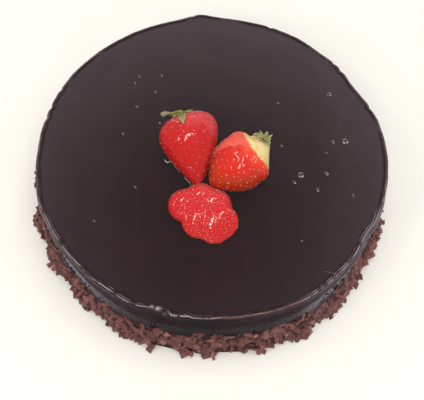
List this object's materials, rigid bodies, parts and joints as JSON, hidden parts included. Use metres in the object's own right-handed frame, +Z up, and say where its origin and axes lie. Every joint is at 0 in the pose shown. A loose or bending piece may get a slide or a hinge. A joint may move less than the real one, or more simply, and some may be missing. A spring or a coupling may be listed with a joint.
{
  "type": "chocolate pastry cake",
  "caption": "Round chocolate glazed cake with a skirt of chocolate flakes round the base and strawberries on top.",
  "frame": {"origin": "middle of the flat base, on the surface it stands on", "axes": "+Z up through the glazed top; -Y is the front, where the lobed strawberry is nearest; +X is to the right of someone who faces the front"},
  "size_m": [0.2556, 0.2548, 0.09],
  "materials": {
    "chocolate_glaze": "wet-looking mirror glaze of dark chocolate, very glossy",
    "milk_chocolate": "satin shavings of milk chocolate",
    "red_strawberry": "ripe red flesh under a clear glossy coat, with pale seeds in dimples",
    "orange_strawberry": "orange-red flesh, pale yellow at the leaf end, under a clear glossy coat",
    "lobed_strawberry": "bright red flesh under a clear glossy coat, with pale seeds in dimples",
    "leaf_green": "dull olive green leaves with paler edges",
    "pale_leaf_green": "pale yellow-green leaves and stem"
  },
  "bodies": {
    "root": {"cake": "chocolate_glaze", "strawberry_left": "red_strawberry", "strawberry_left_leaves": "pale_leaf_green", "strawberry_right": "orange_strawberry", "strawberry_right_leaves": "leaf_green", "strawberry_front": "lobed_strawberry"}
  },
  "joints": []
}
